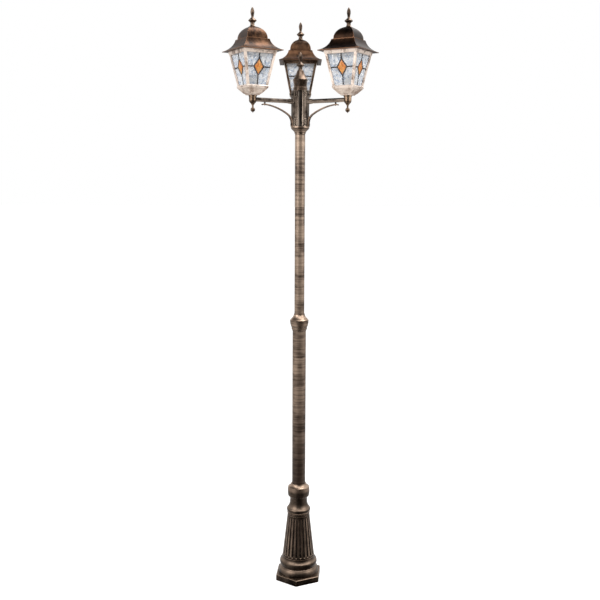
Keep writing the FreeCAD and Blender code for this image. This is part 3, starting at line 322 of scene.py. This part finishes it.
FLUTES = 24
FLUTE_FOOT, FLUTE_TOP = 0.112, 0.281
EASE_OUT, EASE_IN = 0.004, 0.006
FLUTE_BOTTOM, LAND = (-0.1, 0.8), (0.35, 0.95)
STREAK_EDGE = (0.3, 0.65)
LAND_WIPE, STREAK_WIPE = 0.12, 0.4
NECK_RISE, NECK_PAINTED_LIGHT = (0.31, 0.33), 0.06
CROWN_RISE, CROWN_PAINTED_LIGHT = (0.392, 0.406), 0.34


def flute_shade(coat):
    """1 along the bottoms of the flutes, and how much more is wiped along the lands between them.

    Both follow the cosine of 24 times the angle round the post, over the levels where the flutes run.
    The neck and the crown above them get a painted highlight too.
    """
    where = coat.place()
    angle = coat.add("Math", {"operation": "ARCTAN2"}, {0: coat.along("Y", where), 1: coat.along("X", where)})
    wave = angle.work("COSINE", angle * FLUTES)
    level = coat.along("Z", where)
    foot = level.step(FLUTE_FOOT - EASE_OUT, FLUTE_FOOT + EASE_IN)
    run = foot * (1 - level.step(FLUTE_TOP - EASE_IN, FLUTE_TOP + EASE_OUT))
    streaks = coat.noise(60, detail=3, stretch=(1, 1, 0.3), vector=where).step(*STREAK_EDGE)
    # The neck and the crown get a painted highlight.
    painted_neck_crown_light = level.step(*NECK_RISE) * NECK_PAINTED_LIGHT + level.step(*CROWN_RISE) * CROWN_PAINTED_LIGHT
    lands = wave.step(*LAND) * run * (LAND_WIPE + streaks * STREAK_WIPE)
    return (0 - wave).step(*FLUTE_BOTTOM) * run, lands + painted_neck_crown_light


wear(wiped_bronze("pedestal_bronze", dark=(16, 10, 8), bronze=(190, 164, 143), wipe=0.13, reach=0.02,
                  painted_slope_light=0.3, gloss=0.28, groove=flute_shade), "pedestal")

# ------------------------------------------------------------------ the pole
# Two steel tubes with a lacquered bronze finish, brushed round and round in the lathe: fine
# rings, and broader bands where the brush pressed harder. The lower one darkens towards the foot.

BAND_EDGE, RING_EDGE, HAIR_EDGE, PATCH_EDGE = (0.4, 0.6), (0.4, 0.6), (0.3, 0.7), (0.42, 0.58)
BAND_SHARE, RING_SHARE, HAIR_SHARE, PATCH_SHARE = 0.24, 0.42, 0.2, 0.38
STAIN_LEAST, STAIN_MORE = 0.72, 0.5
TUBE_GLOSS, HAIR_DULL, TUBE_METAL = 0.3, 0.1, 0.55
HAIR_HEIGHT, RING_HEIGHT = 0.7, 0.3


def brushed_tube(name, dark, light, low, high, foot_shade):
    """Bronze brushed round a tube that stands on the Z axis, with rings of every width up to a hand's."""
    coat = new_finish(name, Specular_IOR_Level=0.35)
    hair = coat.noise(14, detail=2, stretch=(1, 1, 130))
    rings = coat.noise(6, detail=3, stretch=(1, 1, 18))
    bands = coat.noise(3, detail=2, stretch=(0.6, 0.6, 7))
    patches = coat.noise(16, detail=2, stretch=(1, 1, 1.2))
    stain = coat.noise(18, detail=4, rough=0.6, stretch=(1, 1, 0.35))
    lit = bands.step(*BAND_EDGE) * BAND_SHARE + rings.step(*RING_EDGE) * RING_SHARE
    lit = lit + hair.step(*HAIR_EDGE) * HAIR_SHARE + patches.step(*PATCH_EDGE) * PATCH_SHARE
    foot = 1 - coat.along("Z").step(low, high)
    lit = lit * (1 - foot * foot_shade) * (STAIN_LEAST + stain * STAIN_MORE)
    colour = coat.blend(lit.capped(), dark, light)
    height = hair * HAIR_HEIGHT + rings * RING_HEIGHT
    return coat.finish(colour, TUBE_GLOSS + hair * HAIR_DULL, TUBE_METAL, height, depth=0.0002)


wear(brushed_tube("upper_tube_bronze", dark=(54, 40, 32), light=(168, 146, 127),
                  low=0.9, high=1.2, foot_shade=0.15), "upper_tube")
wear(brushed_tube("lower_tube_bronze", dark=(40, 26, 18), light=(160, 138, 120),
                  low=0.4, high=1.0, foot_shade=0.86), "lower_tube")

# ------------------------------------------------------------------ collars, hub and hub cap
# Small castings in the same wiped bronze, worked over more than the pedestal: the stepped collar of
# the pole, the funnel, the column, and the domed cap. On the collars the wiping is drawn out into rings
# round the post, painted highlights along the mouldings.

# The collar's clouds are drawn out into rings round the post: painted highlights along the mouldings.
collar_painted_highlight_finish = wiped_bronze("collar_bronze_painted_highlights", dark=(16, 10, 8), bronze=(214, 186, 163), wipe=0.6,
                             edge=0.0025, painted_slope_light=0.3, grain=(0.2, 0.2, 5), gloss=0.24)
hub_finish = wiped_bronze("hub_bronze", dark=(20, 14, 11), bronze=(240, 224, 208), wipe=0.14,
                          reach=0.022, edge=0.003, painted_slope_light=0.1, grain=(1, 1, 0.25))
small_finish = wiped_bronze("small_casting_bronze", dark=(22, 15, 12), bronze=(186, 158, 136), wipe=0.38,
                            edge=0.0012, painted_slope_light=0.2)
wear(collar_painted_highlight_finish, "joint_collar", "hub_collar", "tube_coupler")
wear(hub_finish, "hub_column")
wear(small_finish, "hub_cap", "hub_finial")

# ------------------------------------------------------------------ arms, braces and cups
# Each saddle and arm is one casting. A bent strap props it from below on a turned spacer, and
# the cup at its end carries the lantern, with a drop ball screwed in underneath.

ARM_TURN = {"left": 210, "right": 330, "rear": 90}


def each(*kinds):
    """The names of nodes that every arm has."""
    return [f"{kind}_{side}" for kind in kinds for side in ARM_TURN]


# The arms' undersides are lightened: painted light from below.
arm_finish = wiped_bronze("arm_bronze", dark=(22, 15, 12), bronze=(224, 202, 182), wipe=0.16,
                          reach=0.022, edge=0.003, painted_slope_light=-0.55)
brace_finish = wiped_bronze("brace_bronze", dark=(24, 16, 12), bronze=(176, 146, 122), wipe=0.35,
                            edge=0.0006, painted_slope_light=0.1)
cup_finish = wiped_bronze("cup_bronze", dark=(40, 27, 20), bronze=(206, 174, 144), wipe=0.55,
                          edge=0.0015, painted_slope_light=0.2)
wear(arm_finish, *each("arm"))
wear(brace_finish, *each("brace"), "brace_knobs")
wear(cup_finish, *each("arm_cup", "drop_ball"))

# ------------------------------------------------------------------ screws and wiring
# Dark zinc-plated screws with a dry grey bloom, and the junction block and threaded tubes that
# are only seen with the cap or a roof lifted.

blackened = new_finish("blackened_screws", Specular_IOR_Level=0.5)
bloom = blackened.noise(700, detail=3)
worn = blackened.edges(0.0006)
zinc = blackened.blend(bloom.step(0.4, 0.75) * 0.5 + worn * 0.4, (34, 30, 28), (118, 108, 98))
wear(blackened.finish(zinc, 0.42 + bloom * 0.2, 0.85, bloom, depth=0.0002),
     "arm_screws", "brace_screws", "cap_screw")

plated = new_finish("plated_steel", Specular_IOR_Level=0.5)
turned = plated.noise(900, detail=2, stretch=(0.1, 0.1, 1))
steel = plated.blend(turned.step(0.3, 0.7), (120, 116, 110), (182, 178, 170))
wear(plated.finish(steel, 0.32 + turned * 0.2, 0.95, turned, depth=0.0001), *each("nipple"))

moulded = new_finish("junction_block", Specular_IOR_Level=0.45)
grain = moulded.noise(1200, detail=2)
nylon = moulded.blend(grain, (206, 202, 190), (226, 222, 212))
wear(moulded.finish(nylon, 0.45 + grain * 0.15, 0.0, grain, depth=0.0001), "terminal_block")

# ------------------------------------------------------------------ lantern bases and frames
# Thin castings. The wiping here is pale gold, strongest on the posts and the lips of the rails,
# and the corners between them have kept their black, deepened by painted shade. The rear lantern
# has a darker copy of the finish as painted shade.

frame_finish = wiped_bronze("frame_bronze", dark=(122, 94, 76), bronze=(247, 228, 213), wipe=1.25,
                            reach=0.005, metal=0.5)
base_finish = wiped_bronze("base_bronze", dark=(134, 98, 74), bronze=(240, 222, 206), wipe=0.95,
                           reach=0.03, metal=0.5)
# A darker copy of the frame finish for the rear lantern: painted shade.
rear_painted_shade_finish = wiped_bronze("shaded_frame_bronze", dark=(44, 30, 23), bronze=(190, 160, 134), wipe=0.5,
                           reach=0.008, metal=0.7)
wear(frame_finish, "lantern_frame_left", "lantern_frame_right")
wear(base_finish, "lantern_base_left", "lantern_base_right")
wear(rear_painted_shade_finish, "lantern_frame_rear", "lantern_base_rear")

# ------------------------------------------------------------------ the panes
# Rolled glass, hammered on both faces: shallow dimples of all sizes, pale, slightly blue, clear
# enough to show the lamp and its holder as soft shapes.

MM = 0.001
ARM_REACH = 216.5 * MM
LANTERN_FOOT = 2.066
FRAME_FOOT = 25 * MM
FOOT_HALF = 43 * MM
TOP_HALF = 71.5 * MM
FRAME_TALL = 148 * MM
LEAN = math.atan2(TOP_HALF - FOOT_HALF, FRAME_TALL)
GLASS_IN = 5.11 * MM
GLASS_THICK = 3 * MM
PANE_FOOT, PANE_TOP = 6.1 * MM, 134.4 * MM
PANE_FOOT_HALF, PANE_TOP_HALF = 35.8 * MM, 60.0 * MM
PANE_ROWS, PANE_COLUMNS = 56, 48
RIM_SHARE = 1 / 12


def on_face(side, face, across, up, out):
    """Points on a leaning face of a lantern: across it, up its slope and out of it, in the object's frame.

    The face's plane leans out by the frame's own angle; each face is a quarter turn from the last,
    and the lantern stands at the end of its arm.
    """
    level = FRAME_FOOT + up * math.cos(LEAN) - out * math.sin(LEAN)
    away = FOOT_HALF + up * math.sin(LEAN) + out * math.cos(LEAN)
    quarter = math.radians(face * 90)
    x = away * math.cos(quarter) - across * math.sin(quarter) + ARM_REACH
    y = away * math.sin(quarter) + across * math.cos(quarter)
    arm = math.radians(ARM_TURN[side])
    return np.stack([x * math.cos(arm) - y * math.sin(arm),
                     x * math.sin(arm) + y * math.cos(arm),
                     LANTERN_FOOT + level], axis=-1)


def sheet_faces(rows, columns, first=0, round_columns=False):
    """Quads between the points of a grid of rows and columns, the last column tied to the first if round."""
    row, column = np.meshgrid(np.arange(rows - 1), np.arange(columns if round_columns else columns - 1),
                              indexing="ij")
    beside = (column + 1) % columns
    corners = [row * columns + column, row * columns + beside,
               (row + 1) * columns + beside, (row + 1) * columns + column]
    return np.stack(corners, axis=-1).reshape(-1, 4) + first


def make_piece(name, points, faces, material):
    """A mesh object from arrays of points and quads, its normals made to face outwards."""
    mesh = bpy.data.meshes.new(name)
    mesh.from_pydata(points.reshape(-1, 3).tolist(), [], faces.tolist())
    mesh.polygons.foreach_set("use_smooth", [True] * len(mesh.polygons))
    mesh.materials.append(material)
    shells = bmesh.new()
    shells.from_mesh(mesh)
    bmesh.ops.recalc_face_normals(shells, faces=shells.faces)
    shells.to_mesh(mesh)
    shells.free()
    piece = bpy.data.objects.new(name, mesh)
    scene.collection.objects.link(piece)
    return piece


LATTICE = 64
FIRST_COLUMN, FIRST_ROW = 31, 2


def dimples(across, up, cell, seed):
    """Value noise from 0 to 1: seeded heights on a square grid of cells, joined by smooth steps both ways."""
    heights = np.random.default_rng(seed).random((LATTICE, LATTICE))
    x, y = across / cell + FIRST_COLUMN, up / cell + FIRST_ROW
    left, low = np.floor(x).astype(int), np.floor(y).astype(int)
    along, above = x - left, y - low
    along = along * along * (3 - 2 * along)
    above = above * above * (3 - 2 * above)
    right, high = (left + 1) % LATTICE, (low + 1) % LATTICE
    left, low = left % LATTICE, low % LATTICE
    near = heights[low, left] * (1 - along) + heights[low, right] * along
    far = heights[high, left] * (1 - along) + heights[high, right] * along
    return near * (1 - above) + far * above


WIDE_DIMPLE, WIDE_DEPTH = 7 * MM, 0.3
SMALL_DIMPLE, SMALL_DEPTH = 3 * MM, 0.15


def hammered(across, up, seed):
    """Depth of the hammering, up to 0.45 mm: dimples 7 mm wide with 3 mm ones in them."""
    wide = WIDE_DEPTH * dimples(across, up, WIDE_DIMPLE, seed)
    return (wide + SMALL_DEPTH * dimples(across, up, SMALL_DIMPLE, seed + 1)) * MM


def shell(front, back):
    """A closed body from a front and a back grid of points, joined by quads round their rims."""
    rows, columns = front.shape[:2]
    count = rows * columns
    grid = np.arange(count).reshape(rows, columns)
    loop = np.concatenate([grid[0, :], grid[1:, -1], grid[-1, -2::-1], grid[-2:0:-1, 0]])
    after = np.roll(loop, -1)
    rim = np.stack([loop, loop + count, after + count, after], axis=-1)
    faces = np.concatenate([sheet_faces(rows, columns), sheet_faces(rows, columns, count)[:, ::-1], rim])
    return np.concatenate([front.reshape(-1, 3), back.reshape(-1, 3)]), faces


def pane(side, face, seed):
    """One pane, narrower towards its foot, hammered on both faces and plain along its sides."""
    up, share = np.meshgrid(np.linspace(PANE_FOOT, PANE_TOP, PANE_ROWS), np.linspace(-1, 1, PANE_COLUMNS),
                            indexing="ij")
    half_width = PANE_FOOT_HALF + (PANE_TOP_HALF - PANE_FOOT_HALF) * (up - PANE_FOOT) / (PANE_TOP - PANE_FOOT)
    across = share * half_width
    rim = np.minimum((1 - np.abs(share)) / RIM_SHARE, 1)
    front = on_face(side, face, across, up, -GLASS_IN - hammered(across, up, seed) * rim)
    back = on_face(side, face, across, up, -GLASS_IN - GLASS_THICK + hammered(across, up, seed + 2) * rim)
    return shell(front, back)


def gathered(parts):
    """Several meshes' points and faces as one."""
    points, faces, first = [], [], 0
    for some_points, some_faces in parts:
        points.append(some_points.reshape(-1, 3))
        faces.append(some_faces + first)
        first += len(points[-1])
    return np.concatenate(points), np.concatenate(faces)


LIGHT_LET_IN = 0.8

glass = new_finish("hammered_glass", Transmission_Weight=0.72, IOR=1.45, Specular_IOR_Level=0.5)
mottle = glass.noise(85, detail=3, rough=0.6)
seedy = glass.noise(300, detail=2)
tint = glass.blend(mottle.step(0.38, 0.56), (207, 217, 231), (255, 255, 255))
glass_material = glass.finish(tint, 0.03 + seedy * 0.1 + mottle * 0.05, 0.0,
                              mottle * 0.65 + seedy * 0.35, depth=0.0012)
shadow = glass.add("LightPath", output="Is Shadow Ray") * LIGHT_LET_IN
clear = glass.add("BsdfTransparent")
body_of_glass = Signal(glass, glass.shader.outputs["BSDF"])
glass.feed(glass.nodes["Material Output"].inputs["Surface"],
           glass.add("MixShader", values={0: shadow, 1: body_of_glass, 2: clear}))

for number, side in enumerate(ARM_TURN):
    all_four = gathered(pane(side, face, 10 * number + 3 * face) for face in range(4))
    panes = make_piece(f"hammered_panes_{side}", *all_four, glass_material)
    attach(panes, "post")
    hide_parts(f"lantern_glass_{side}")

# ------------------------------------------------------------------ leads and amber pieces
# Half-round lead stuck to the outside of each pane, soldered where two strips meet, with a
# rhombus of amber glass in its middle.

LEAD_HALF = 2.25 * MM
LEAD_THICK = 1.2 * MM
ARCH = 10
SLANT = 1 / math.cos(LEAN)
DIAMOND_HALF, DIAMOND_TALL = 21.5 * MM, 32.5 * MM
DIAMOND_LEVEL = 78 * MM
DIAMOND_UP = DIAMOND_LEVEL * SLANT
END_GAP = 0.5 * MM
LEAD_FOOT, LEAD_TOP = 11 * MM * SLANT + END_GAP, 130 * MM * SLANT - END_GAP
POST_COVER = 10 * MM
SIDE_END = FOOT_HALF + DIAMOND_LEVEL * math.tan(LEAN) - POST_COVER


def lead(side, face, points, closed):
    """A half-round strip along a path on a face: a half ellipse carried along, mitred at the corners."""
    path = np.array(points)
    ahead = np.roll(path, -1, axis=0) - path
    if not closed:
        ahead[-1] = ahead[-2]
    ahead = ahead / np.linalg.norm(ahead, axis=1, keepdims=True)
    before = np.roll(ahead, 1, axis=0)
    if not closed:
        before[0] = ahead[0]
    square = np.stack([-(ahead + before)[:, 1], (ahead + before)[:, 0]], axis=-1)
    square = square / np.sum(square * np.stack([-ahead[:, 1], ahead[:, 0]], axis=-1), axis=1, keepdims=True)
    arch = np.linspace(0, np.pi, ARCH)
    beside, height = np.cos(arch) * LEAD_HALF, np.sin(arch) * LEAD_THICK
    across = path[:, None, 0] + square[:, None, 0] * beside
    up = path[:, None, 1] + square[:, None, 1] * beside
    strip = on_face(side, face, across, up, -GLASS_IN + height)
    last = (len(path) - 1) * ARCH
    faces = sheet_faces(len(path), ARCH, round_columns=True)
    if closed:
        seam = np.arange(ARCH)
        beyond = (seam + 1) % ARCH
        return strip, np.concatenate([faces, np.stack([last + seam, last + beyond, beyond, seam], axis=-1)])
    fan = np.array([[0, first, first + 1, first + 2] for first in range(1, ARCH - 1, 2)])
    return strip, np.concatenate([faces, fan[:, ::-1], fan + last])


def raised(side, face, across, up, height):
    """A closed body that stands on a pane: its top at a height over the glass, its back flat on it."""
    top = on_face(side, face, across, up, -GLASS_IN + height)
    return shell(top, on_face(side, face, across, up, -GLASS_IN))


def square_grid(count):
    """Two parameters from -1 to 1 on a square grid with so many points a side."""
    return np.meshgrid(np.linspace(-1, 1, count), np.linspace(-1, 1, count), indexing="ij")


SOLDER_GRID = 9
SOLDER_HALF, SOLDER_TALL = 3.6 * MM, 3.4 * MM
SOLDER_TOP, SOLDER_FALL = 1.05, 0.9


def solder(side, face, across, up):
    """A blob of solder: a flat dome on an ellipse, its height falling with the square of the way to the rim.

    Its grid is a square whose rows and columns bend into ellipses, so that no point is shared by a fan.
    """
    s, t = square_grid(SOLDER_GRID)
    x, y = s * np.sqrt(1 - t ** 2 / 2), t * np.sqrt(1 - s ** 2 / 2)
    height = LEAD_THICK * (SOLDER_TOP - SOLDER_FALL * (x ** 2 + y ** 2))
    return raised(side, face, across + x * SOLDER_HALF, up + y * SOLDER_TALL, height)


AMBER_GRID = 17
AMBER_INSET = 3.4 * MM
AMBER_PILLOW, AMBER_RIM = 0.6 * MM, 0.1 * MM


def amber_lens(side, face):
    """A rhombus with a pillowed top: the height drops as the sixth power towards each of its four sides."""
    inner = 1 - AMBER_INSET / DIAMOND_HALF
    s, t = square_grid(AMBER_GRID)
    across = DIAMOND_HALF * inner * (s - t) / 2
    up = DIAMOND_UP + DIAMOND_TALL * inner * (s + t) / 2
    return raised(side, face, across, up, AMBER_PILLOW * (1 - s ** 6) * (1 - t ** 6) + AMBER_RIM)


pewter = new_finish("lead_came", Specular_IOR_Level=0.4)
oxide = pewter.noise(420, detail=4)
shine = pewter.edges(0.0008)
grey = pewter.blend(oxide.step(0.4, 0.7) * 0.5 + shine * 0.35, (46, 41, 40), (120, 112, 106))
lead_material = pewter.finish(grey, 0.5 + oxide * 0.2, 0.6, oxide, depth=0.0003)

honey = new_finish("amber_glass", Transmission_Weight=0.45, IOR=1.5, Specular_IOR_Level=0.5)
streak = honey.noise(60, detail=3, stretch=(1, 1, 0.4), warp=0.6)
amber_tone = honey.blend(streak.step(0.3, 0.7), (232, 128, 40), (255, 190, 104))
amber_material = honey.finish(amber_tone, 0.2 + streak * 0.15, 0.0, streak)

rhombus = [(DIAMOND_HALF, DIAMOND_UP), (0, DIAMOND_UP + DIAMOND_TALL),
           (-DIAMOND_HALF, DIAMOND_UP), (0, DIAMOND_UP - DIAMOND_TALL)]
strips = [[(0, LEAD_FOOT), rhombus[3]], [rhombus[1], (0, LEAD_TOP)],
          [rhombus[0], (SIDE_END, DIAMOND_UP)], [(-SIDE_END, DIAMOND_UP), rhombus[2]]]
for side in ARM_TURN:
    parts = []
    for face in range(4):
        parts.append(lead(side, face, rhombus, closed=True))
        parts += [lead(side, face, strip, closed=False) for strip in strips]
        parts += [solder(side, face, *corner) for corner in rhombus]
    leads = make_piece(f"lead_strips_{side}", *gathered(parts), lead_material)
    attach(leads, "post")
    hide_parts(f"pane_leading_{side}")
    lenses = gathered(amber_lens(side, face) for face in range(4))
    ambers = make_piece(f"amber_lenses_{side}", *lenses, amber_material)
    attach(ambers, "post")
    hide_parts(f"amber_diamonds_{side}")

# ------------------------------------------------------------------ lampholders and lamps
# A black moulded screw lampholder on the threaded tube, and a small opal globe lamp with a
# plated cap.

bakelite = new_finish("black_lampholder", Specular_IOR_Level=0.5)
dust = bakelite.noise(300, detail=3)
black = bakelite.blend(dust.step(0.45, 0.8) * 0.6, (12, 13, 18), (44, 46, 56))
wear(bakelite.finish(black, 0.35 + dust * 0.2, 0.0, dust, depth=0.0002), *each("lampholder"))

CAP_END = (2.141, 2.1425)

opal = new_finish("opal_lamp", Specular_IOR_Level=0.5)
milk = opal.noise(60, detail=3)
on_cap = 1 - opal.along("Z").step(*CAP_END)
white = opal.blend(milk, (232, 234, 240), (248, 249, 252))
tone = opal.blend(on_cap, white, (150, 146, 138))
wear(opal.finish(tone, 0.22 + milk * 0.1 + on_cap * 0.12, on_cap, milk, depth=0.0001), *each("bulb"))

# ------------------------------------------------------------------ roofs, finials and their bridges
# Spun and pressed to a square: flared eave, shoulder and dome. Wiped copper over black, lighter
# on the hips and lips; the right roof has a darker copy with hardly any wiping, as painted shade.
# Strap, stud and finial are plain bronze.

roof_finish = wiped_bronze("roof_copper", dark=(22, 14, 10), bronze=(160, 116, 86), wipe=0.3, reach=0.008,
                           edge=0.0025, painted_slope_light=0.0, grain=(1, 1, 0.5), gloss=0.32)
# A darker copy of the roof finish for the right roof: painted shade.
right_roof_painted_shade = wiped_bronze("shaded_roof_copper", dark=(18, 11, 8), bronze=(150, 106, 78), wipe=0.1,
                                 reach=0.008, edge=0.003, painted_slope_light=0.0, grain=(1, 1, 0.5), gloss=0.32)
wear(roof_finish, "roof_left", "roof_rear")
wear(right_roof_painted_shade, "roof_right")
wear(small_finish, *each("finial", "roof_bridge"))
